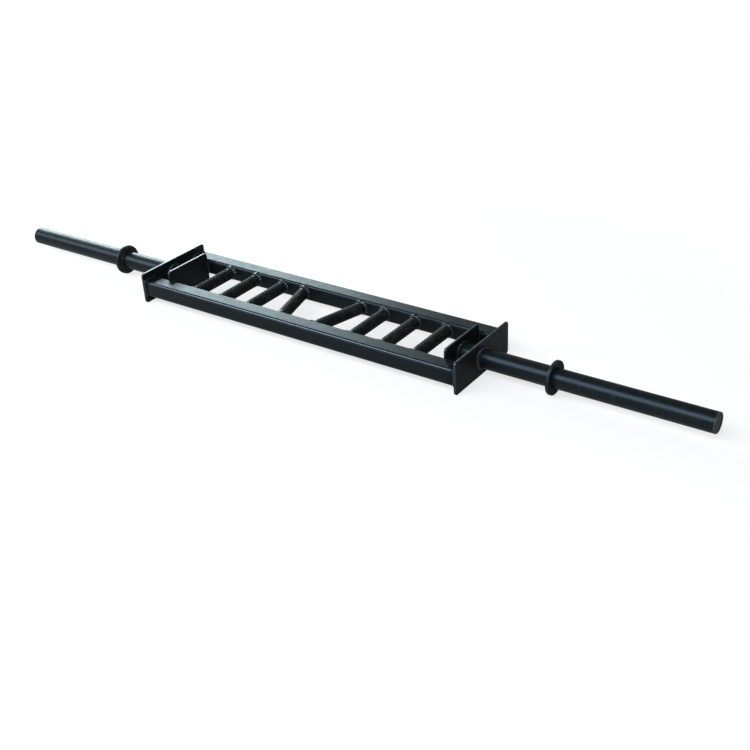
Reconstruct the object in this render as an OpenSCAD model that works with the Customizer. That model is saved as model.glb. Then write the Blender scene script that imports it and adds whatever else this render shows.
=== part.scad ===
// Multi-grip strength bar: two box-section rails joined by eight neutral grips,
// with a loading sleeve and a stop collar at each end.
// X runs along the bar, Y across the rails, Z up. The origin is at the middle
// of the bar, on the floor plane that the end plates stand on.

/* [Overall] */
// Length over both sleeve tips
total_length = 2200; // [1900:10:2400]
// Length of the frame over the outer faces of the end plates
frame_length = 1030; // [960:2:1100]
// Width of the frame over the outer faces of the rails
frame_width = 245; // [200:1:246]

/* [Rails] */
// Width of the box section
rail_width = 45; // [30:1:50]
// Height of the box section
rail_height = 45; // [43:1:60]
// Wall of the box section
rail_wall = 3; // [2:0.5:4]
// Outer corner radius of the box section
rail_corner = 6.5; // [5:0.5:8]

/* [Plates] */
// Width of an end plate, across the rails
plate_width = 250; // [248:1:280]
// Height of the end plates and the inner plates
plate_height = 88; // [84:1:110]
// Thickness of the end plates
plate_thickness = 6; // [5:0.5:10]
// Corner radius of the end plates
plate_corner = 8; // [3:0.5:12]
// Thickness of the inner plates
inner_plate_thickness = 6; // [4:0.5:10]
// Corner radius of the inner plates
inner_plate_corner = 8; // [2:0.5:10]
// Clear gap between an end plate and its inner plate
plate_gap = 50; // [30:1:60]

/* [Sleeves] */
// Outer diameter of the tube from the inner plate to the outer face of the collar
tube_diameter = 50.8; // [50.6:0.1:52]
// Outer diameter of the loading stretch, turned down to suit the holes in weight plates
load_diameter = 50; // [40:0.5:50]
// Wall of the sleeve at the loading stretch
sleeve_wall = 5; // [3:0.5:8]
// Length from the outer face of the collar to the tip
load_length = 388; // [300:1:440]
// Thickness of the cap that closes the tip
cap_thickness = 5; // [3:0.5:8]
// Length of the cap's spigot inside the tube
cap_spigot = 12; // [6:1:25]
// Chamfer round the tip
tip_chamfer = 1.5; // [0.5:0.25:2.5]

/* [Collars] */
// Diameter of the collar that stops the weight plates
collar_diameter = 85; // [75:1:87]
// Thickness of the collar
collar_thickness = 8; // [5:0.5:14]
// Chamfer on both rims of the collar
collar_chamfer = 1; // [0.5:0.25:2]

/* [Grips] */
// Outer diameter of a grip
grip_diameter = 33; // [28:0.5:34]
// Wall of a grip
grip_wall = 3; // [2:0.5:5]
// Distance from the middle of the bar to the innermost grips
first_grip_x = 76.5; // [68:0.5:84]
// Distance from one grip to the next
grip_pitch = 96; // [90:0.5:98]
// Angle of the innermost grips, front ends towards the middle
inner_grip_angle = 15; // [0:0.5:18]

/* [Welds and fits] */
// Leg of the weld beads round the grips
grip_bead = 5; // [3:0.5:6]
// Leg of the weld beads round the sleeves
sleeve_bead = 6; // [3:0.5:8]
// Leg of the weld beads on the collars' inboard faces
collar_bead = 4; // [2:0.5:6]
// Leg of the weld beads round the rail ends
rail_bead = 4; // [3:0.5:6]
// Least that a rail's bead stands out from the rail, where an end plate's edge is close
least_bead = 1; // [0.5:0.25:2]
// Leg of the weld beads beside the inner plates
inner_plate_bead = 4; // [2:0.5:6]
// Width of end plate left bare between its edge and the beads of the rails
bead_margin = 0.5; // [0.25:0.25:1]
// Radial clearance of the tube in the plates and collars, and of the cap in the tube
tube_clearance = 0.25; // [0.1:0.05:0.4]

/* [Hidden] */
$fn = 96;
STEEL = "#3a3d3f";
DARK_STEEL = "#2f3133";
GRIP_STEEL = "#333638";
BARE_EDGE = "#55574f";
WELD_STEEL = "#45484a";

axis_z = plate_height / 2;
tip_x = total_length / 2;
collar_x = tip_x - load_length;
plate_outer_x = frame_length / 2;
plate_inner_x = plate_outer_x - plate_thickness;
inner_plate_x = plate_inner_x - plate_gap;
rail_y = (frame_width - rail_width) / 2;
inner_face_y = frame_width / 2 - rail_width;
tube_r = tube_diameter / 2;
load_r = load_diameter / 2;
sleeve_bore_r = load_r - sleeve_wall;
seat_r = tube_r + tube_clearance;
grip_r = grip_diameter / 2;
// Length past both rails, for solids that are cut to the rail faces
reach = frame_width;
// Width over the beads of both rails: up to the plate's bare edge, but never cut open by it
rail_bead_span = max(plate_width - 2 * bead_margin, frame_width + 2 * least_bead);

// Places children on the right-hand side as drawn, or mirrored to the left
module on_side(side) {
    if (side == "left") mirror([1, 0, 0]) children();
    else children();
}

// Turns something drawn along Z so that it runs outwards along the sleeve axis from x
module on_axis(x) {
    translate([x, 0, axis_z]) rotate([0, 90, 0]) children();
}

// Turns an outline drawn across Y and up Z into a plate that starts at x
module plate_from(x, thickness) {
    translate([x, 0, axis_z]) rotate([90, 0, 90]) linear_extrude(thickness) children();
}

module rounded_rectangle(width, height, radius) {
    square([width - 2 * radius, height], center = true);
    square([width, height - 2 * radius], center = true);
    for (sx = [-1, 1], sy = [-1, 1])
        translate([sx * (width / 2 - radius), sy * (height / 2 - radius)]) circle(radius);
}

// The solid that a rail's outside encloses, the length of the rail
module rail_envelope(side_y) {
    translate([0, side_y * rail_y, 0])
        plate_from(-plate_inner_x, 2 * plate_inner_x)
            rounded_rectangle(rail_width, rail_height, rail_corner);
}

module rail(side_y) {
    color(STEEL)
        translate([0, side_y * rail_y, 0])
            plate_from(-plate_inner_x, 2 * plate_inner_x)
                difference() {
                    rounded_rectangle(rail_width, rail_height, rail_corner);
                    rounded_rectangle(rail_width - 2 * rail_wall, rail_height - 2 * rail_wall,
                        rail_corner - rail_wall);
                }
}

module end_plate(side) {
    color(DARK_STEEL)
        on_side(side)
            plate_from(plate_inner_x, plate_thickness)
                difference() {
                    rounded_rectangle(plate_width, plate_height, plate_corner);
                    circle(seat_r);
                }
}

// Stands between the rails and carries the inboard end of the sleeve
module inner_plate(side) {
    color(DARK_STEEL)
        on_side(side)
            plate_from(inner_plate_x - inner_plate_thickness, inner_plate_thickness)
                rounded_rectangle(2 * inner_face_y, plate_height, inner_plate_corner);
}

// Tube from the inner plate to the cap, with a small step down at the collar's outer face
module sleeve(side) {
    step = collar_x - inner_plate_x;
    length = tip_x - cap_thickness - inner_plate_x;
    color(STEEL)
        on_side(side)
            on_axis(inner_plate_x)
                rotate_extrude()
                    polygon([
                        [sleeve_bore_r, 0],
                        [tube_r, 0],
                        [tube_r, step],
                        [load_r, step],
                        [load_r, length],
                        [sleeve_bore_r, length]
                    ]);
}

// Disc that closes the tube, with a spigot inside it and a chamfer round the tip
module sleeve_cap(side) {
    spigot_r = sleeve_bore_r - tube_clearance;
    color(BARE_EDGE)
        on_side(side)
            on_axis(tip_x - cap_thickness)
                rotate_extrude()
                    polygon([
                        [0, -cap_spigot],
                        [spigot_r, -cap_spigot],
                        [spigot_r, 0],
                        [load_r, 0],
                        [load_r, cap_thickness - tip_chamfer],
                        [load_r - tip_chamfer, cap_thickness],
                        [0, cap_thickness]
                    ]);
}

module collar(side) {
    collar_r = collar_diameter / 2;
    color(STEEL)
        on_side(side)
            on_axis(collar_x - collar_thickness)
                rotate_extrude()
                    polygon([
                        [seat_r, 0],
                        [collar_r - collar_chamfer, 0],
                        [collar_r, collar_chamfer],
                        [collar_r, collar_thickness - collar_chamfer],
                        [collar_r - collar_chamfer, collar_thickness],
                        [seat_r, collar_thickness]
                    ]);
}

// Distance of a grip from the middle of the bar; grip 1 is the innermost
function grip_x(number) = first_grip_x + (number - 1) * grip_pitch;

function grip_angle(number) = number == 1 ? inner_grip_angle : 0;

// Puts something drawn along Y on the line of a grip on the right-hand side
module on_grip_line(number) {
    translate([grip_x(number), 0, axis_z]) rotate([0, 0, -grip_angle(number)]) children();
}

module grip_rod(radius) {
    rotate([90, 0, 0]) cylinder(h = 2 * reach, r = radius, center = true);
}

module grip(side, number) {
    color(GRIP_STEEL)
        on_side(side)
            intersection() {
                on_grip_line(number)
                    difference() {
                        grip_rod(grip_r);
                        grip_rod(grip_r - grip_wall);
                    }
                translate([grip_x(number), 0, axis_z])
                    cube([reach, 2 * inner_face_y, rail_height], center = true);
            }
}

// Quarter-round ring on the plane z = 0 round a bar of the given radius
module round_bead(radius, leg) {
    rotate_extrude()
        translate([radius, 0])
            intersection() {
                circle(leg);
                square(leg);
            }
}

// Bead round both ends of one grip, flowing into the rounded edges of the rails
module grip_bead_pair(number) {
    end_shift = inner_face_y * tan(grip_angle(number));
    for (side_y = [-1, 1])
        difference() {
            translate([grip_x(number) + side_y * end_shift, side_y * inner_face_y, axis_z])
                rotate([90, 0, 0])
                    rotate_extrude() translate([grip_r, 0]) circle(grip_bead);
            rail_envelope(side_y);
            on_grip_line(number) grip_rod(grip_r);
        }
}

module grip_welds() {
    color(WELD_STEEL)
        for (side = ["left", "right"], number = [1:4])
            on_side(side) grip_bead_pair(number);
}

// Beads on both faces of the end plate and on the outboard face of the inner plate
module sleeve_welds() {
    color(WELD_STEEL)
        for (side = ["left", "right"])
            on_side(side) {
                on_axis(plate_outer_x) round_bead(tube_r, sleeve_bead);
                on_axis(plate_inner_x) mirror([0, 0, 1]) round_bead(tube_r, sleeve_bead);
                on_axis(inner_plate_x) round_bead(tube_r, sleeve_bead);
            }
}

module collar_welds() {
    color(WELD_STEEL)
        for (side = ["left", "right"])
            on_side(side)
                on_axis(collar_x - collar_thickness)
                    mirror([0, 0, 1]) round_bead(tube_r, collar_bead);
}

// Round-section bead that follows the outline of a rail, drawn in the plane z = 0
module outline_bead(width, height, radius, leg) {
    flat_x = width / 2 - radius;
    flat_y = height / 2 - radius;
    for (turn = [0, 1])
        mirror([turn, 0, 0]) {
            translate([flat_x + radius, 0, 0])
                rotate([90, 0, 0]) cylinder(h = 2 * flat_y, r = leg, center = true);
        }
    for (turn = [0, 1])
        mirror([0, turn, 0]) {
            translate([0, flat_y + radius, 0])
                rotate([0, 90, 0]) cylinder(h = 2 * flat_x, r = leg, center = true);
        }
    for (mx = [0, 1], my = [0, 1])
        mirror([mx, 0, 0])
            mirror([0, my, 0])
                translate([flat_x, flat_y, 0])
                    rotate_extrude(angle = 90)
                        intersection() {
                            translate([radius, 0]) circle(leg);
                            translate([0, -leg]) square([radius + leg, 2 * leg]);
                        }
}

// Bead all round one rail where it butts against an end plate, kept within the plate's outline
module rail_welds() {
    color(WELD_STEEL)
        for (side = ["left", "right"], side_y = [-1, 1])
            on_side(side)
                difference() {
                    intersection() {
                        translate([plate_inner_x, side_y * rail_y, axis_z])
                            rotate([90, 0, 90])
                                outline_bead(rail_width, rail_height, rail_corner, rail_bead);
                        plate_from(plate_inner_x - rail_bead, rail_bead)
                            rounded_rectangle(rail_bead_span,
                                plate_height - 2 * bead_margin, plate_corner - bead_margin);
                    }
                    rail_envelope(side_y);
                }
}

// Upright beads in the corners between the inner plates and the rails
module inner_plate_welds() {
    bead_height = rail_height - 2 * rail_corner;
    color(WELD_STEEL)
        for (side = ["left", "right"], side_y = [-1, 1], face = [0, 1])
            on_side(side)
                translate([inner_plate_x - face * inner_plate_thickness, side_y * inner_face_y,
                        axis_z - bead_height / 2])
                    mirror([face, 0, 0])
                        mirror([0, side_y > 0 ? 1 : 0, 0])
                            linear_extrude(bead_height)
                                intersection() {
                                    circle(inner_plate_bead);
                                    square(inner_plate_bead);
                                }
}

rail(-1);  // front_rail
rail(1);  // rear_rail
end_plate("left");  // left_end_plate
end_plate("right");  // right_end_plate
inner_plate("left");  // left_inner_plate
inner_plate("right");  // right_inner_plate
grip("left", 1);  // left_grip_1
grip("left", 2);  // left_grip_2
grip("left", 3);  // left_grip_3
grip("left", 4);  // left_grip_4
grip("right", 1);  // right_grip_1
grip("right", 2);  // right_grip_2
grip("right", 3);  // right_grip_3
grip("right", 4);  // right_grip_4
sleeve("left");  // left_sleeve
sleeve("right");  // right_sleeve
collar("left");  // left_collar
collar("right");  // right_collar
sleeve_cap("left");  // left_sleeve_cap
sleeve_cap("right");  // right_sleeve_cap
rail_welds();
inner_plate_welds();
grip_welds();
sleeve_welds();
collar_welds();
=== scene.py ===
import math

import bpy
import numpy as np
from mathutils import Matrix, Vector


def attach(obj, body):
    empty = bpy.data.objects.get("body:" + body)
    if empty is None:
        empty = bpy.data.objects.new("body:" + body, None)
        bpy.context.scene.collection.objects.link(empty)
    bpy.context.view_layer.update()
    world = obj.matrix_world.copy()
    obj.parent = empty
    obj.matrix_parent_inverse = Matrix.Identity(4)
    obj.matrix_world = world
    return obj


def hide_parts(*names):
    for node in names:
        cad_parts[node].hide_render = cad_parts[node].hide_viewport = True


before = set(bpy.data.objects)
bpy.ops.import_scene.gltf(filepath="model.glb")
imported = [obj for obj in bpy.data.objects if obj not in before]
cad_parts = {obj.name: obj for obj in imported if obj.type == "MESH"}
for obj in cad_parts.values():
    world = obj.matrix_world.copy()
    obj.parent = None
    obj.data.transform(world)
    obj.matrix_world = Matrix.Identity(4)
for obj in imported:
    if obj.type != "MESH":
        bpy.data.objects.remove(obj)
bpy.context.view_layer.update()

# Everything below is in metres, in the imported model's own frame: X along the bar,
# Y across the rails, Z up from the plane that the end plates stand on.
MM = 0.001
RNG = np.random.default_rng(41)

# Sizes of the bar, the same as the CAD source's
AXIS_Z = 44 * MM
RAIL_Y, RAIL_WIDTH, RAIL_HEIGHT = 100 * MM, 45 * MM, 45 * MM
RAIL_WALL, RAIL_CORNER = 3 * MM, 6.5 * MM
INNER_FACE_Y = RAIL_Y - RAIL_WIDTH / 2
PLATE_IN, PLATE_OUT = 509 * MM, 515 * MM
RAIL_END = PLATE_IN
PLATE_WIDTH, PLATE_HEIGHT, PLATE_CORNER = 250 * MM, 88 * MM, 8 * MM
INNER_PLATE_IN, INNER_PLATE_OUT = 453 * MM, 459 * MM
INNER_PLATE_CORNER = 8 * MM
TUBE_R, LOAD_R, BORE_R, SEAT_R = 25.4 * MM, 25 * MM, 20 * MM, 25.65 * MM
COLLAR_R, COLLAR_IN, COLLAR_OUT = 42.5 * MM, 704 * MM, 712 * MM
LOAD_X = COLLAR_OUT
CAP_X, TIP_X = 1095 * MM, 1100 * MM
CAP_CHAMFER, CAP_MIDDLE_R, SPIGOT, SPIGOT_GAP = 1.5 * MM, 12 * MM, 12 * MM, 0.25 * MM
GRIP_R, GRIP_NUMBERS = 16.5 * MM, (1, 2, 3, 4)
# In millimetres: the first grip's distance from the middle, and then from grip to grip
FIRST_GRIP, GRIP_SPACING = 76.5, 96
GRIP_X = [(FIRST_GRIP + GRIP_SPACING * (number - 1)) * MM for number in GRIP_NUMBERS]
GRIP_ANGLE = [math.radians(15), 0, 0, 0]
GRIP_BEAD, SLEEVE_BEAD, COLLAR_BEAD = 5 * MM, 6 * MM, 4 * MM
RAIL_BEAD, INNER_PLATE_BEAD, BEAD_MARGIN = 4 * MM, 4 * MM, 0.5 * MM


# Surfaces

# A face counts as level where its normal's share of Z is more than this
LEVEL_FACE = 0.9
# A face lies on an edge where the edge marks of all its points are more than this
ON_EDGE = 0.99


def skin(grid, ends, **marks):
    """Faces over a grid of points, m rows by n columns, whose columns close on themselves.

    ends is "loop" where the last row joins the first, or "poles" where each end row is
    closed by a fan to a point at its middle. marks are m by n arrays kept with the points.
    The enclosed volume, a sum of p0 . (p1 x p2) / 6 over the triangles, tells whether the
    faces point outwards; where it is negative they are all turned round.
    """
    m, n = grid.shape[:2]
    points = grid.reshape(-1, 3)
    index = np.arange(m * n).reshape(m, n)
    if ends == "loop":
        top, bottom = index, np.roll(index, -1, axis=0)
    else:
        top, bottom = index[:-1], index[1:]
    top_after, bottom_after = np.roll(top, -1, axis=1), np.roll(bottom, -1, axis=1)
    quads = np.stack([top, top_after, bottom_after, bottom], axis=-1).reshape(-1, 4)
    fans = np.zeros((0, 3), int)
    marks = {key: np.broadcast_to(value, (m, n)).reshape(-1) for key, value in marks.items()}
    if ends == "poles":
        first, last = m * n, m * n + 1
        after = np.roll(index, -1, axis=1)
        points = np.vstack([points, grid[0].mean(axis=0), grid[-1].mean(axis=0)])
        fans = np.vstack([
            np.stack([after[0], index[0], np.full(n, first)], axis=-1),
            np.stack([index[-1], after[-1], np.full(n, last)], axis=-1)])
        marks = {key: np.append(value, [value[:n].mean(), value[-n:].mean()])
                 for key, value in marks.items()}
    halves = np.vstack([quads[:, [0, 1, 2]], quads[:, [0, 2, 3]], fans])
    a, b, c = points[halves[:, 0]], points[halves[:, 1]], points[halves[:, 2]]
    if np.einsum("ij,ij->i", a, np.cross(b, c)).sum() < 0:
        quads, fans = quads[:, ::-1], fans[:, ::-1]
    return points, quads, fans, marks


def as_made(part):
    """The right-hand side keeps a skin as it was made."""
    return part


def mirrored(part):
    """The same skin on the left-hand side: x changes sign, and the faces turn round with it."""
    points, quads, fans, marks = part
    return points * [-1, 1, 1], quads[:, ::-1], fans[:, ::-1], marks


def piece(name, parts, material, replaces, edge_material=None, level_material=None):
    """Joins skins into one smooth mesh object that stands in for CAD nodes.

    Faces whose points all lie on an edge take edge_material where one is given. Those of
    them that look upwards take level_material where one is given.
    """
    points, polygons, start = [], [], 0
    for part in parts:
        points.append(part[0])
        polygons += (part[1] + start).tolist() + (part[2] + start).tolist()
        start += len(part[0])
    mesh = bpy.data.meshes.new(name)
    mesh.from_pydata(np.vstack(points).tolist(), [], polygons)
    mesh.polygons.foreach_set("use_smooth", np.ones(len(mesh.polygons), bool))
    for key in parts[0][3]:
        layer = mesh.attributes.new(key, "FLOAT", "POINT")
        values = np.concatenate([part[3][key] for part in parts])
        layer.data.foreach_set("value", values.astype(np.float32))
    mesh.materials.append(material)
    if edge_material:
        mesh.materials.append(edge_material)
        lowest = [part[3]["edge"][faces].min(axis=1)
                  for part in parts for faces in part[1:3] if len(faces)]
        chosen = (np.concatenate(lowest) > ON_EDGE).astype(np.int32)
        if level_material:
            mesh.materials.append(level_material)
            normals = np.empty(3 * len(chosen), np.float32)
            mesh.polygons.foreach_get("normal", normals)
            chosen[(chosen == 1) & (normals[2::3] > LEVEL_FACE)] = 2
        mesh.polygons.foreach_set("material_index", chosen)
    mesh.update()
    made = bpy.data.objects.new(name, mesh)
    bpy.context.collection.objects.link(made)
    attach(made, "root")
    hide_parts(*replaces)
    return made


def rounded_outline(width, height, radius, steps=8, straight=6):
    """Points round a rounded rectangle with their outward normals and corner marks.

    Each corner is a quarter circle in equal steps, with a mark of 1. Each straight side is a
    line of points with a mark of 0, closer together at its ends so that the shading of the
    flat stays flat.
    """
    spots, normals, corner = [], [], []
    ease = (1 - np.cos(np.pi * np.arange(1, straight) / straight)) / 2
    reach = np.array([width / 2 - radius, height / 2 - radius])
    centres = np.array([(1, 1), (-1, 1), (-1, -1), (1, -1)]) * reach
    for quarter in range(4):
        turn = np.pi / 2 * (quarter + np.linspace(0, 1, steps + 1))
        ray = np.stack([np.cos(turn), np.sin(turn)], axis=-1)
        arc = centres[quarter] + radius * ray
        following = centres[(quarter + 1) % 4] + radius * ray[-1]
        spots += [arc, arc[-1] + ease[:, None] * (following - arc[-1])]
        normals += [ray, np.repeat(ray[-1:], straight - 1, axis=0)]
        corner += [np.ones(steps + 1), np.zeros(straight - 1)]
    return np.vstack(spots), np.vstack(normals), np.concatenate(corner)


def section(x, outline, y_middle=0.0):
    """The points of an outline stood up across the bar at x."""
    return np.column_stack([np.full(len(outline), x), y_middle + outline[:, 0],
                            AXIS_Z + outline[:, 1]])


def box_section(y_middle):
    """A rail: its rounded outline carried along X on the outside and back along X on the inside.

    Only the upper front corner counts as an edge that hands and racks polish. The other
    three corners are rubbed almost as much, but keep the coat of the flats.
    """
    outer, _, corner = rounded_outline(RAIL_WIDTH, RAIL_HEIGHT, RAIL_CORNER)
    inner, _, _ = rounded_outline(RAIL_WIDTH - 2 * RAIL_WALL, RAIL_HEIGHT - 2 * RAIL_WALL,
                                  RAIL_CORNER - RAIL_WALL)
    along = np.linspace(-RAIL_END, RAIL_END, 41)
    grid = np.array([section(x, outer, y_middle) for x in along]
                    + [section(x, inner, y_middle) for x in along[::-1]])
    upper_front = (outer[:, 1] > 0) & (outer[:, 0] < 0)
    rubbed = corner * np.where(upper_front, 1, 0.9)
    return skin(grid, "loop", edge=np.array([rubbed] * len(along) + [0 * corner] * len(along)))


def plate(x_in, x_out, width, corner, soft=0.6 * MM, hole=0.0):
    """A cut plate on the right-hand side with edges softened to a small radius.

    The path runs from the middle, or from the hole, across one face, round the edge as two
    quarter circles of radius soft, and back across the other face. Every row is the outline
    drawn in by the path's own distance, and near the middle a circle seen along the same rays.
    """
    outline, normal, _ = rounded_outline(width, PLATE_HEIGHT, corner, steps=10, straight=16)
    ray = outline / np.linalg.norm(outline, axis=1)[:, None]
    bend = np.linspace(0, np.pi / 2, 6)
    inset = np.concatenate([[6 * soft, 1.6 * soft], soft * (1 - np.sin(bend))])
    depth = np.concatenate([[0, 0], soft * (1 - np.cos(bend))])
    # The edge mark rises from the flat face over the first row of the bend
    marks = [0, 0, 0.35] + [1.0] * (len(bend) - 1)
    # The smallest ring goes round the hole, or close to the middle of a whole plate
    smallest = max(hole, 4 * MM)
    face = [(0, ray * r, 0) for r in (smallest, smallest + 8 * MM)]
    face += [(d, outline - normal * i, mark) for d, i, mark in zip(depth, inset, marks)]
    thickness = x_out - x_in
    path = face + [(thickness - x, row, mark) for x, row, mark in reversed(face)]
    grid = np.array([section(x_in + x, row) for x, row, _ in path])
    edge = np.array([mark for _, _, mark in path], float)[:, None]
    return skin(grid, "loop" if hole else "poles", edge=edge)


def turned(profile, ends, around=96, marks=None):
    """A profile of (x, radius) points spun about the sleeve axis."""
    x, r = np.array(profile, float).T
    t = np.linspace(0, 2 * np.pi, around, endpoint=False)
    grid = np.stack([np.repeat(x[:, None], around, 1), r[:, None] * np.cos(t),
                     AXIS_Z + r[:, None] * np.sin(t)], axis=-1)
    edge = np.zeros(len(x)) if marks is None else np.array(marks, float)
    return skin(grid, ends, edge=edge[:, None])


def softened(corners, radius, steps=5):
    """A path through corner points with each corner rounded by a quadratic curve.

    The curve starts and ends at the given distance from the corner and is weighted
    (1-s)^2, 2s(1-s), s^2 between its start, the corner and its end. A point on each side of
    the curve keeps the shading of the straight runs straight, so each corner becomes
    steps + 2 points. The edge mark is 1 on the curve.
    """
    corners = np.array(corners, float)
    s = np.linspace(0, 1, steps)[:, None]
    path, mark = [], []
    for k, corner in enumerate(corners):
        before, after = corners[k - 1], corners[(k + 1) % len(corners)]
        size = radius[k] if np.ndim(radius) else radius
        toward = [(p - corner) / np.linalg.norm(p - corner) for p in (before, after)]
        start, end = corner + size * toward[0], corner + size * toward[1]
        path += [start + 0.5 * size * toward[0]]
        path += list((1 - s) ** 2 * start + 2 * s * (1 - s) * corner + s ** 2 * end)
        path += [end + 0.5 * size * toward[1]]
        mark += [0] + [1] * steps + [0]
    return np.array(path), np.array(mark, float)


# Knurl: real grips carry diamonds about 1.2 mm wide, cut at 30 degrees either side of the
# grip's axis. They are drawn with the same slant but 16 round the grip and some 12 mm long,
# because finer ones would not show in a picture of the whole bar. Their rows read as fine
# cross ribs.
KNURL_ROUND, KNURL_PITCH, KNURL_DEPTH, KNURL_HALF = 16, 11.6 * MM, 0.9 * MM, 64 * MM
# The height, as a share of a whole pyramid's, at which the coat rounds the tips off
KNURL_TOP = 0.8
# The knurl runs out over this share of a diamond, down to a smooth end a little thinner
KNURL_RUN_OUT, SMOOTH_END_UNDER = 0.4, 0.15 * MM
# The crest mark of the smooth ends, which the run-out goes over to
SMOOTH_END_CREST = 0.6
POINTS_PER_DIAMOND, ROWS_PER_DIAMOND = 8, 16


def knurled_grip(number):
    """A grip tube between the rails' inner faces, knurled along its middle.

    u counts diamonds round the tube and v / pitch along it. Two families of grooves run where
    their sum and where their difference is a whole number. The height over the grooves is the
    smaller distance to either family, which makes pyramids, cut off at KNURL_TOP. Rows are
    rings of equal distance along the tube; towards each end they turn into the slanted ring
    in which the tube meets the flat side of the rail. Those smooth ends carry an edge mark of
    1, which gives them the frame's own coat.
    """
    angle = GRIP_ANGLE[number - 1]
    around = KNURL_ROUND * POINTS_PER_DIAMOND
    t = np.linspace(0, 2 * np.pi, around, endpoint=False)
    count = int(round(2 * KNURL_HALF / KNURL_PITCH)) * ROWS_PER_DIAMOND
    half = count * KNURL_PITCH / (2 * ROWS_PER_DIAMOND)
    v = np.linspace(-half, half, count + 1)
    u = t / (2 * np.pi) * KNURL_ROUND
    first = np.abs(2 * ((u[None, :] + v[:, None] / KNURL_PITCH) % 1) - 1)
    second = np.abs(2 * ((u[None, :] - v[:, None] / KNURL_PITCH) % 1) - 1)
    height = np.minimum(np.minimum(1 - first, 1 - second) / KNURL_TOP, 1)
    fade = np.clip((half - np.abs(v)) / (KNURL_RUN_OUT * KNURL_PITCH), 0, 1)[:, None]
    knurled = GRIP_R - KNURL_DEPTH * (1 - height) * fade - SMOOTH_END_UNDER * (1 - fade)

    # How far each of an end's rows has turned from the last ring into the slanted one
    lead = np.array([1.0, 0.6, 0.25, 0.06])[:, None]
    slant = math.tan(angle) * GRIP_R * np.cos(t)
    rear = INNER_FACE_Y / math.cos(angle) - slant
    front = -INNER_FACE_Y / math.cos(angle) - slant
    along = np.vstack([front * lead + (-half) * (1 - lead), np.repeat(v[:, None], around, 1),
                       rear * lead[::-1] + half * (1 - lead[::-1])])
    plain = np.full((len(lead), around), GRIP_R - SMOOTH_END_UNDER)
    radius = np.vstack([plain, knurled, plain])
    end_crest = np.full((len(lead), around), SMOOTH_END_CREST)
    # The crest mark: the grip's coat paints the tips paler, partly as wear, and the grooves
    # darker as painted shade
    crest = np.vstack([end_crest, height * fade + SMOOTH_END_CREST * (1 - fade), end_crest])
    smooth = np.zeros_like(crest)
    smooth[:len(lead) + 1] = smooth[-len(lead) - 1:] = 1

    # Turned by the grip's own angle about Z, rear end outwards
    across = radius * np.cos(t)
    x = GRIP_X[number - 1] + across * math.cos(angle) + along * math.sin(angle)
    y = -across * math.sin(angle) + along * math.cos(angle)
    grid = np.stack([x, y, AXIS_Z + radius * np.sin(t)], axis=-1)
    return skin(grid, "poles", crest=crest, edge=smooth)


# Weld beads: the length of one drop, and where along its length a bead was started and
# closed, as a share of it. On a ring that is near its top.
DROP_PITCH, SEAM_PLACE = 6.5 * MM, 0.31
# The lump over that place, as a share of the bead's size, and half its length
SEAM_LUMP, SEAM_HALF = 0.42, 5.5 * MM
# A bead keeps this share of its leg at both toes
TOE_SIZE = 0.93
# How far a bead's hidden side lies inside the metal
SUNK, UPRIGHT_SUNK = 0.5 * MM, 0.4 * MM
# The crest mark on the hidden side, which never shows
HIDDEN_CREST = 0.5


def ripple(path_length, spread):
    """How far a bead stands at each point, as a share of its plain size.

    A weld is laid as overlapping drops. Counting drops along the path and bowing the count
    back towards the toes gives crescents; within one drop the height falls away with the
    square of the distance from its middle. Slow waves make the bead uneven. It stands proud
    where it was started and closed.
    """
    total = path_length[-1] + path_length[1]
    drops = max(3, round(total / DROP_PITCH))
    along = path_length[None, :] / total
    bow = 0.6 * (2 * spread[:, None] - 1) ** 2
    inside = (drops * along + bow) % 1
    scallop = 1 - (2 * inside - 1) ** 2
    slow = sum(0.05 / k * np.sin(2 * np.pi * (k * along * 2 + RNG.random())) for k in (1, 2, 3))
    seam = SEAM_PLACE + 0.08 * (RNG.random() - 0.5)
    gap = np.minimum(np.abs(along - seam), 1 - np.abs(along - seam)) * total
    lump = SEAM_LUMP * np.exp(-(gap / SEAM_HALF) ** 2)
    return 0.55 + 0.32 * scallop + slow + lump, scallop


def fillet(base, up, outward, leg, drop=None):
    """A fillet bead carried along a closed path of points.

    base is the corner line, up the direction away from the wall face and outward the
    direction along it. Across the bead an angle s runs from the toe on the wall to the toe on
    the bar: the point is base + size (cos s outward + sin s up), where size is the leg times
    the ripple between the toes and settles to TOE_SIZE at them. The last points of the
    section lie inside the metal and close it. drop tells how far the wall falls away under
    the outer toe.
    """
    length = np.concatenate([[0], np.cumsum(np.linalg.norm(np.diff(base, axis=0), axis=1))])
    s = np.linspace(0, np.pi / 2, 9)
    size, scallop = ripple(length, s / (np.pi / 2))
    size = leg * size
    ease = np.sin(2 * s)[:, None]
    size = size * ease ** 0.25 + leg * TOE_SIZE * (1 - ease ** 0.25)
    grid = (base[None] + (size * np.cos(s)[:, None])[..., None] * outward[None]
            + (size * np.sin(s)[:, None])[..., None] * up[None])
    if drop is not None:
        share = np.cos(s)[:, None] ** 2
        grid = grid - (share * drop(grid))[..., None] * up[None]
    under = grid[0] - SUNK * up
    inside = grid[-1] - SUNK * outward
    corner = base - SUNK * outward - SUNK * up
    grid = np.concatenate([under[None], grid, inside[None], corner[None]])
    # The crest mark: the weld coat paints each drop's middle paler as a painted highlight and
    # the joins between drops darker as painted shade
    crest = np.vstack([np.full((1, len(base)), HIDDEN_CREST), scallop,
                       np.full((2, len(base)), HIDDEN_CREST)])
    return skin(grid, "loop", crest=crest)


def rail_fall(points):
    """How far a rail's rounded edge lies behind its flat side, at a point's height.

    Within the flat, |z| <= h - r, it is nothing; beyond it, r - sqrt(r^2 - (|z| - h + r)^2).
    It is held just short of the place where the corner ends.
    """
    past = np.abs(points[..., 2] - AXIS_Z) - (RAIL_HEIGHT / 2 - RAIL_CORNER)
    past = np.clip(past, 0, 0.98 * RAIL_CORNER)
    return RAIL_CORNER - np.sqrt(RAIL_CORNER ** 2 - past ** 2)


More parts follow.
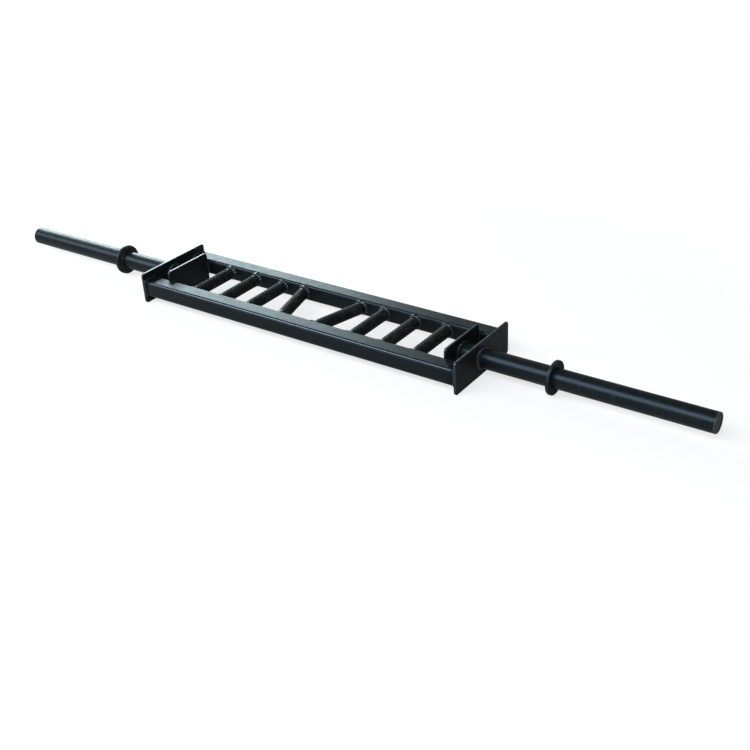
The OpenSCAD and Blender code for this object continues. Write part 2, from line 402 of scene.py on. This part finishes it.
def grip_bead(number, side_y):
    """The ring bead round one end of a grip, on the rail's inner face."""
    angle = GRIP_ANGLE[number - 1]
    t = np.linspace(0, 2 * np.pi, 240, endpoint=False)
    x = GRIP_X[number - 1] + side_y * INNER_FACE_Y * math.tan(angle)
    ring = np.column_stack([GRIP_R / math.cos(angle) * np.cos(t), 0 * t, GRIP_R * np.sin(t)])
    outward = ring / GRIP_R
    up = np.array([[-side_y * math.tan(angle), -side_y, 0.0]])
    base = np.array([x, side_y * INNER_FACE_Y, AXIS_Z]) + ring
    return fillet(base, np.repeat(up, len(t), 0), outward, GRIP_BEAD, drop=rail_fall)


def ring_bead(x, facing, leg):
    """The ring bead round the sleeve tube on an upright face at x, on the side it faces."""
    t = np.linspace(0, 2 * np.pi, 320, endpoint=False)
    outward = np.column_stack([0 * t, np.cos(t), np.sin(t)])
    base = np.array([x, 0, AXIS_Z]) + TUBE_R * outward
    up = np.repeat(np.array([[facing, 0.0, 0.0]]), len(t), 0)
    return fillet(base, up, outward, leg)


def rail_end_bead(side_y):
    """The bead round a rail's end, on the inside of the right-hand end plate.

    Outside the rail it is pressed flat where it would stand past the plate's edge.
    """
    count = 300
    outline, normal, _ = rounded_outline(RAIL_WIDTH, RAIL_HEIGHT, RAIL_CORNER,
                                         steps=12, straight=40)
    side = np.linalg.norm(np.diff(np.vstack([outline, outline[:1]]), axis=0), axis=1)
    length = np.concatenate([[0], np.cumsum(side)])
    even = np.linspace(0, length[-1], count, endpoint=False)
    y, z, normal_y, normal_z = [np.interp(even, length, np.append(v, v[0]))
                                for v in (*outline.T, *normal.T)]
    base = np.column_stack([np.full(count, PLATE_IN), side_y * RAIL_Y + y, AXIS_Z + z])
    outward = np.column_stack([0 * even, normal_y, normal_z])
    up = np.repeat(np.array([[-1.0, 0.0, 0.0]]), count, 0)
    points, quads, fans, marks = fillet(base, up, outward, RAIL_BEAD)
    limit = PLATE_WIDTH / 2 - BEAD_MARGIN
    points[:, 1] = np.clip(points[:, 1], -limit, limit)
    return points, quads, fans, marks


def upright_bead(x, facing, side_y):
    """A short upright bead in the corner of an inner plate and a rail, with rounded ends.

    Its rows are quarter rounds whose leg swells from nothing at each end as a half sine to
    the power 0.35, with the same ripple as the other beads.
    """
    rows, columns = 90, 8
    z = np.linspace(-1, 1, rows) * (RAIL_HEIGHT / 2 - RAIL_CORNER)
    s = np.linspace(0, np.pi / 2, columns)
    size, scallop = ripple(z - z[0], s / (np.pi / 2))
    swell = np.clip(np.sin(np.pi * (np.arange(rows) + 0.5) / rows), 0, 1) ** 0.35
    leg = INNER_PLATE_BEAD * (size * swell).T
    out = np.stack([x + facing * leg * np.cos(s), side_y * (INNER_FACE_Y - leg * np.sin(s)),
                    np.repeat(AXIS_Z + z[:, None], columns, 1)], axis=-1)
    hidden = [x - facing * UPRIGHT_SUNK, side_y * (INNER_FACE_Y + UPRIGHT_SUNK), 0]
    hidden = np.repeat(np.array([hidden]), rows, 0)
    hidden[:, 2] = AXIS_Z + z
    grid = np.concatenate([out, hidden[:, None]], axis=1)
    # The same crest mark, which paints the drops' middles paler as a painted highlight and their
    # joins darker as painted shade
    crest = np.hstack([scallop.T, np.full((rows, 1), HIDDEN_CREST)])
    return skin(grid, "poles", crest=crest)


# Finishes

# Scales of noise, in waves per metre: handling drifts over 83 mm and wears in patches of
# 18 mm, the coat flows in waves of 4 mm, and its grain is 1.1 mm
DRIFT, PATCH, FLOW, GRAIN = 12.0, 55.0, 260.0, 900.0
# How high the coat's waves and its grain stand
FLOW_HEIGHT, GRAIN_HEIGHT = 0.13 * MM, 0.02 * MM
WHITE = (1.0, 1.0, 1.0, 1.0)


def linear(hex_colour):
    """An sRGB hex value as the linear colour that a shader takes."""
    value = np.array([int(hex_colour[i:i + 2], 16) for i in (1, 3, 5)]) / 255
    bent = np.where(value <= 0.04045, value / 12.92, ((value + 0.055) / 1.055) ** 2.4)
    return (*bent.tolist(), 1.0)


def add(tree, kind, inputs=None, **settings):
    """Adds one node. inputs gives each socket a value or the socket that feeds it."""
    made = tree.nodes.new("ShaderNode" + kind)
    for key, value in settings.items():
        setattr(made, key, value)
    for key, value in (inputs or {}).items():
        if isinstance(value, bpy.types.NodeSocket):
            tree.links.new(value, made.inputs[key])
        else:
            made.inputs[key].default_value = value
    return made


def noise(tree, place, scale, detail):
    """A noise between 0 and 1."""
    made = add(tree, "TexNoise", {"Vector": place, "Scale": scale, "Detail": detail})
    return made.outputs["Fac"]


def remap(tree, value, low, high, to_low=0.0, to_high=1.0, **settings):
    """A value carried from between low and high to between to_low and to_high."""
    made = add(tree, "MapRange", {"Value": value, "From Min": low, "From Max": high,
                                  "To Min": to_low, "To Max": to_high}, **settings)
    return made.outputs["Result"]


def calculate(tree, operation, *values):
    """One step of arithmetic over values or sockets."""
    return add(tree, "Math", dict(enumerate(values)), operation=operation).outputs["Value"]


def cover(tree, factor, under, over):
    """The colour under, covered with the colour over as far as factor says."""
    made = add(tree, "Mix", {"Factor": factor, "A": under, "B": over}, data_type="RGBA")
    return made.outputs["Result"]


def blank_material(name):
    """A material with only its output node left in it."""
    made = bpy.data.materials.new(name)
    made.use_nodes = True
    tree = made.node_tree
    tree.nodes.clear()
    return made, tree, tree.nodes.new("ShaderNodeOutputMaterial")


def coat(name, colours, roughness, specular, tint, peel, mark, mark_range, scuffed=False):
    """Powder coat on steel.

    colours are dark, light and worn. The coat drifts between dark and light as handling
    leaves it, and turns towards worn where the mark attribute says the coat is rubbed and a
    fine noise breaks it. Over knurl and weld beads the mark is the crest, so this step paints
    light and shade: paler weld crests are a painted highlight, knurl tips are paler partly
    from wear, and grooves and hollows stay dark as painted shade. Roughness drifts with the
    same noise. The relief is orange peel: the powder's flow leaves waves about 2 mm wide.
    They are drawn 4 mm wide, so that they show as grain. roughness gives its range,
    mark_range the marks between which wear sets in, and peel the strength of the relief.
    """
    made, tree, output = blank_material(name)
    dark, light, worn_and_painted_light = [linear(colour) for colour in colours]
    place = add(tree, "TexCoord").outputs["Object"]
    patchy = noise(tree, place, PATCH, 4.0)
    rubbed = add(tree, "Attribute", attribute_name=mark).outputs["Fac"]
    rubbed = remap(tree, rubbed, *mark_range)
    broken = remap(tree, patchy, 0.42, 0.68, to_low=0.3)
    # Worn colour where marks are high: wear on edges and knurl tips, a painted highlight on weld
    # crests, and painted shade left in grooves and hollows
    wear_and_painted_light = calculate(tree, "MULTIPLY", rubbed, broken)
    colour = cover(tree, noise(tree, place, DRIFT, 3.0), dark, light)
    colour = cover(tree, wear_and_painted_light, colour, worn_and_painted_light)
    rough = remap(tree, patchy, 0.3, 0.7, *roughness)
    if scuffed:
        # Weight plates turn and slide on the loading stretch: rings of faint scuffs about
        # 1.5 mm wide across the bar, only outboard of the collar
        rings = add(tree, "Mapping", {"Vector": place, "Scale": (650.0, 9.0, 9.0)})
        streak = noise(tree, rings.outputs["Vector"], 1.0, 3.0)
        streak = remap(tree, streak, 0.5, 0.8, to_high=0.7)
        x = add(tree, "SeparateXYZ", {"Vector": place}).outputs["X"]
        outboard = remap(tree, calculate(tree, "ABSOLUTE", x), LOAD_X, LOAD_X + 30 * MM)
        scuff = calculate(tree, "MULTIPLY", streak, outboard)
        scuff = calculate(tree, "MULTIPLY", scuff, broken)
        colour = cover(tree, scuff, colour, worn_and_painted_light)
        rough = calculate(tree, "MULTIPLY_ADD", scuff, 0.12, rough)
    relief = add(tree, "Bump", {"Height": noise(tree, place, FLOW, 1.5), "Strength": peel,
                                "Distance": FLOW_HEIGHT}).outputs["Normal"]
    relief = add(tree, "Bump", {"Height": noise(tree, place, GRAIN, 2.0), "Strength": peel,
                                "Distance": GRAIN_HEIGHT, "Normal": relief}).outputs["Normal"]
    shader = add(tree, "BsdfPrincipled", {"Base Color": colour, "Roughness": rough,
                                          "Normal": relief, "IOR": 1.5,
                                          "Specular IOR Level": specular,
                                          "Specular Tint": tint})
    tree.links.new(shader.outputs["BSDF"], output.inputs["Surface"])
    return made


# Blue-black satin: the coat's clear binder gives a cool, soft reflection of the lights
COOL = (0.60, 0.79, 1.0, 1.0)
frame_coat = coat("satin_powder_coat_on_steel_section", ("#0b0e0e", "#131615", "#333739"),
                  roughness=(0.33, 0.41), specular=0.29, tint=COOL, peel=1.0,
                  mark="edge", mark_range=(0.0, 1.8))
# The coat flows thin and smooth round edges: it is glossier there and draws a bright line
EDGE_COLOURS = ("#0d0f10", "#141719", "#2f3539")
edge_coat = coat("gloss_powder_coat_drawn_round_edges", EDGE_COLOURS,
                 roughness=(0.13, 0.19), specular=0.75, tint=COOL, peel=0.2,
                 mark="edge", mark_range=(0.0, 1.6))
# The rear rail's corner is touched less by hands, and its line is fainter
rear_edge_coat = coat("gloss_powder_coat_on_sheltered_edge", EDGE_COLOURS,
                      roughness=(0.13, 0.19), specular=0.25, tint=COOL, peel=0.2,
                      mark="edge", mark_range=(0.0, 1.6))
# A cut edge keeps the cutting's fine lines under the coat: it mirrors as softly as the flats
cut_edge_coat = coat("powder_coat_over_cut_plate_edge", EDGE_COLOURS,
                     roughness=(0.30, 0.38), specular=1.0, tint=(0.70, 0.90, 1.0, 1.0),
                     peel=0.2, mark="edge", mark_range=(0.0, 1.6))
# Plate is rougher under the coat than drawn tube, so its faces are duller and greyer
plate_coat = coat("satin_powder_coat_on_cut_plate", ("#191c1a", "#232724", "#535859"),
                  roughness=(0.36, 0.46), specular=0.13, tint=(0.75, 0.90, 1.0, 1.0),
                  peel=0.9, mark="edge", mark_range=(0.0, 1.5))
# Weight plates rub the collar's face, which leaves it duller and faintly green
collar_coat = coat("rubbed_powder_coat_on_collar", ("#1c211d", "#262b27", "#40463f"),
                   roughness=(0.45, 0.55), specular=0.09, tint=(0.85, 1.0, 0.9, 1.0),
                   peel=0.9, mark="edge", mark_range=(0.0, 1.0))
# Round tube lies smoother under the coat. Weight plates scuff only its loading stretch.
sleeve_coat = coat("satin_powder_coat_rubbed_by_plates", ("#0d100f", "#131715", "#2d3232"),
                   roughness=(0.29, 0.37), specular=0.33, tint=COOL, peel=1.3,
                   mark="edge", mark_range=(0.0, 1.2), scuffed=True)
# The knurl's tips are rubbed smoother and paler by hands; its grooves are kept dark by the crest
# mark as painted shade
grip_coat = coat("matt_powder_coat_over_knurl", ("#060706", "#0a0b0a", "#4d544e"),
                 roughness=(0.50, 0.60), specular=0.13, tint=(0.85, 0.95, 1.0, 1.0),
                 peel=0.3, mark="crest", mark_range=(0.35, 0.95))
# The weld's crests are painted paler by the crest mark, a painted highlight, and the hollows
# between drops stay darker as painted shade; the glossy coat also catches the lamps there
WELD_COLOURS_WITH_PAINTED_HIGHLIGHT = ("#0b0d0e", "#131516", "#222527")
weld_coat = coat("gloss_powder_coat_over_weld_ripple", WELD_COLOURS_WITH_PAINTED_HIGHLIGHT,
                 roughness=(0.20, 0.28), specular=0.8, tint=(0.72, 0.88, 1.0, 1.0),
                 peel=0.25, mark="crest", mark_range=(0.4, 1.5))
# The low beads behind the collars are covered more thickly, and stay satin; their crests carry
# the same painted highlight, and their hollows the same painted shade
low_weld_coat = coat("satin_powder_coat_over_low_weld", WELD_COLOURS_WITH_PAINTED_HIGHLIGHT,
                     roughness=(0.30, 0.38), specular=0.3, tint=COOL, peel=0.25,
                     mark="crest", mark_range=(0.4, 1.5))
# The cap's face has lost its gloss to the floor: grey-green, with paler specks
cap_coat = coat("floor_worn_powder_coat_on_cap", ("#191c17", "#232620", "#50544a"),
                roughness=(0.45, 0.6), specular=0.31, tint=(0.9, 1.0, 1.0, 1.0),
                peel=0.8, mark="edge", mark_range=(-0.6, 1.0))


# The bar

for side_y, name, corner_coat in ((-1, "front_rail", edge_coat),
                                  (1, "rear_rail", rear_edge_coat)):
    piece(name + "_tube", [box_section(side_y * RAIL_Y)], frame_coat, [name],
          corner_coat)

collar_path, collar_edge = softened(
    [(COLLAR_IN, SEAT_R), (COLLAR_IN, COLLAR_R), (COLLAR_OUT, COLLAR_R), (COLLAR_OUT, SEAT_R)],
    [0.3 * MM, 1.4 * MM, 1.4 * MM, 0.3 * MM])
PER_CORNER = len(collar_edge) // 4
# The corners at the hole are no edge. The rim from its inboard rounding up to its outboard
# one keeps the frame's coat, and that outboard rounding is only rubbed.
collar_edge[:PER_CORNER] = collar_edge[-PER_CORNER:] = 0
collar_edge[PER_CORNER:2 * PER_CORNER + 1] = 1
collar_edge[2 * PER_CORNER + 1:-PER_CORNER] *= 0.67

sleeve_path, _ = softened(
    [(INNER_PLATE_OUT, BORE_R), (INNER_PLATE_OUT, TUBE_R), (LOAD_X, TUBE_R), (LOAD_X, LOAD_R),
     (CAP_X, LOAD_R), (CAP_X, BORE_R)], 0.19 * MM, steps=3)

cap_path, cap_edge = softened(
    [(CAP_X - SPIGOT, BORE_R - SPIGOT_GAP), (CAP_X, BORE_R - SPIGOT_GAP), (CAP_X, LOAD_R),
     (TIP_X - CAP_CHAMFER, LOAD_R), (TIP_X, LOAD_R - CAP_CHAMFER), (TIP_X, CAP_MIDDLE_R)],
    [0.3 * MM, 0.3 * MM, 0.35 * MM, 0.5 * MM, 0.5 * MM, 1 * MM])
# The spigot's two corners are hidden. The path doesn't close on itself: fans close its ends,
# so the points that lead into its first corner and out of its last are left out.
cap_edge[:2 * PER_CORNER] = 0
cap_path, cap_edge = cap_path[1:-2], cap_edge[1:-2]

for side, turn in (("left", mirrored), ("right", as_made)):
    piece(side + "_end_plate_cut",
          [turn(plate(PLATE_IN, PLATE_OUT, PLATE_WIDTH, PLATE_CORNER, hole=SEAT_R))],
          plate_coat, [side + "_end_plate"], edge_coat, cut_edge_coat)
    piece(side + "_inner_plate_cut",
          [turn(plate(INNER_PLATE_IN, INNER_PLATE_OUT, 2 * INNER_FACE_Y, INNER_PLATE_CORNER))],
          plate_coat, [side + "_inner_plate"], edge_coat, cut_edge_coat)
    piece(side + "_sleeve_tube", [turn(turned(sleeve_path, "loop"))],
          sleeve_coat, [side + "_sleeve"])
    piece(side + "_collar_ring", [turn(turned(collar_path, "loop", 128, collar_edge))],
          collar_coat, [side + "_collar"], frame_coat)
    piece(side + "_cap_disc", [turn(turned(cap_path, "poles", 96, cap_edge))],
          cap_coat, [side + "_sleeve_cap"])
    for number in GRIP_NUMBERS:
        piece("%s_grip_%d_knurled" % (side, number), [turn(knurled_grip(number))],
              grip_coat, ["%s_grip_%d" % (side, number)], frame_coat)

grip_beads, sleeve_beads, collar_beads, rail_beads, inner_beads = [], [], [], [], []
for turn in (mirrored, as_made):
    grip_beads += [turn(grip_bead(number, side_y))
                   for number in GRIP_NUMBERS for side_y in (-1, 1)]
    sleeve_beads += [turn(ring_bead(x, facing, SLEEVE_BEAD))
                     for x, facing in ((PLATE_OUT, 1), (PLATE_IN, -1), (INNER_PLATE_OUT, 1))]
    collar_beads += [turn(ring_bead(COLLAR_IN, -1, COLLAR_BEAD))]
    rail_beads += [turn(rail_end_bead(side_y)) for side_y in (-1, 1)]
    inner_beads += [turn(upright_bead(x, facing, side_y))
                    for x, facing in ((INNER_PLATE_OUT, 1), (INNER_PLATE_IN, -1))
                    for side_y in (-1, 1)]
for name, beads, bead_coat in (("grip_welds", grip_beads, weld_coat),
                               ("sleeve_welds", sleeve_beads, weld_coat),
                               ("collar_welds", collar_beads, low_weld_coat),
                               ("rail_welds", rail_beads, weld_coat),
                               ("inner_plate_welds", inner_beads, weld_coat)):
    piece(name + "_rippled", beads, bead_coat, [name])


# The studio

def floor_material():
    """Pale paper. Near the bar it is lit and keeps the shadow; far off it turns to plain white.

    The lit paper also glows a little, more so for the camera, which keeps it close to white.
    The coats mirror the plain white at a quarter of its strength.
    """
    made, tree, output = blank_material("white_paper_sweep")
    place = add(tree, "TexCoord").outputs["Object"]
    ray = add(tree, "LightPath").outputs
    relief = add(tree, "Bump", {"Height": noise(tree, place, FLOW, 3.0), "Strength": 0.2,
                                "Distance": 0.1 * MM}).outputs["Normal"]
    glow = remap(tree, ray["Is Camera Ray"], 0.0, 1.0, to_low=0.1, to_high=0.69)
    paper = add(tree, "BsdfPrincipled", {"Base Color": linear("#9b9995"), "Roughness": 0.9,
                                         "Normal": relief, "Specular IOR Level": 0.2,
                                         "Emission Color": WHITE, "Emission Strength": glow})
    mirrored_floor = calculate(tree, "MULTIPLY", ray["Is Glossy Ray"], 0.25)
    seen = calculate(tree, "MAXIMUM", ray["Is Camera Ray"], mirrored_floor)
    white = add(tree, "Emission", {"Color": WHITE, "Strength": seen})
    # An oval along the bar: lit paper out to 0.7, plain white from 1.9
    oval = add(tree, "Mapping", {"Vector": place, "Scale": (0.8, 1.6, 1.0)}).outputs["Vector"]
    away = add(tree, "VectorMath", {0: oval}, operation="LENGTH").outputs["Value"]
    far = remap(tree, away, 0.7, 1.9, interpolation_type="SMOOTHSTEP")
    blend = add(tree, "MixShader", {0: far, 1: paper.outputs["BSDF"],
                                    2: white.outputs["Emission"]})
    tree.links.new(blend.outputs["Shader"], output.inputs["Surface"])
    return made


FLOOR_REACH = 30
floor_corners = [(x * FLOOR_REACH, y * FLOOR_REACH, 0)
                 for x, y in ((-1, -1), (1, -1), (1, 1), (-1, 1))]
floor_mesh = bpy.data.meshes.new("floor")
floor_mesh.from_pydata(floor_corners, [], [(0, 1, 2, 3)])
floor_mesh.materials.append(floor_material())
floor = bpy.data.objects.new("floor", floor_mesh)
bpy.context.collection.objects.link(floor)
floor.location.z = -0.05 * MM


def softbox(name, place, target, width, height, radiance, colour):
    """A lamp panel that faces target. Its power is pi times area times the radiance it shows."""
    data = bpy.data.lights.new(name, "AREA")
    data.shape, data.size, data.size_y = "RECTANGLE", width, height
    data.energy = math.pi * width * height * radiance
    data.color = colour
    made = bpy.data.objects.new(name, data)
    made.location = place
    made.rotation_euler = (Vector(target) - Vector(place)).to_track_quat("-Z", "Y").to_euler()
    made.visible_camera = False
    bpy.context.collection.objects.link(made)
    return made


# The lamps face a height near the middle of the bar
TARGET_Z = 0.05
# A long row of panels over the front, brightest left of the middle, which draws the cool
# band along tubes and edges
PANEL_Y, PANEL_Z, PANEL_HEIGHT, PANEL_COLOUR = -3.35, 3.65, 2.8, (0.80, 0.90, 1.0)
for name, x, width, radiance in (("front_panel", 0.0, 6.0, 5.65),
                                 ("front_middle_panel", -3.85, 1.7, 8.5),
                                 ("front_left_panel", -5.85, 2.3, 5.3)):
    softbox(name, (x, PANEL_Y, PANEL_Z), (x, 0, TARGET_Z), width, PANEL_HEIGHT, radiance,
            PANEL_COLOUR)
# A low window behind the left end, which the level faces mirror at a shallow angle
softbox("rear_window", place=(-7.55, 4.8, 2.95), target=(0, 0, TARGET_Z), width=6.6, height=3.3,
        radiance=9.6, colour=(0.80, 0.975, 1.0))

# The room is dim, and dimmer overhead. The camera itself sees it as plain white.
world = bpy.data.worlds.new("studio_room")
world.use_nodes = True
bpy.context.scene.world = world
room = world.node_tree
direction = add(room, "TexCoord").outputs["Generated"]
height = add(room, "SeparateXYZ", {"Vector": direction}).outputs["Z"]
dimness = remap(room, height, 0.30, 0.62, to_low=0.25, to_high=0.10,
                interpolation_type="SMOOTHSTEP")
plain = add(room, "LightPath").outputs["Is Camera Ray"]
strength = calculate(room, "MAXIMUM", dimness, plain)
room.links.new(strength, room.nodes["Background"].inputs["Strength"])
room.nodes["Background"].inputs["Color"].default_value = WHITE

# The photograph's camera, found from some 400 edge points of the bar: lens and sensor in
# mm, shift as a share of the picture, angles in degrees
SENSOR, LENS, LENS_SHIFT = 36.0, 53.86235, (-0.001571, -0.008840)
CAMERA_PLACE = (1.725458, -2.050962, 1.361036)
CAMERA_ANGLES = (60.65113431, 2.96243998, 35.11244534)
camera_data = bpy.data.cameras.new("camera")
camera_data.sensor_width = SENSOR
camera_data.lens = LENS
camera_data.shift_x, camera_data.shift_y = LENS_SHIFT
camera_data.clip_end = 100.0
camera = bpy.data.objects.new("camera", camera_data)
camera.location = CAMERA_PLACE
camera.rotation_euler = [math.radians(a) for a in CAMERA_ANGLES]
bpy.context.collection.objects.link(camera)
bpy.context.scene.camera = camera
bpy.context.scene.view_settings.view_transform = "Standard"
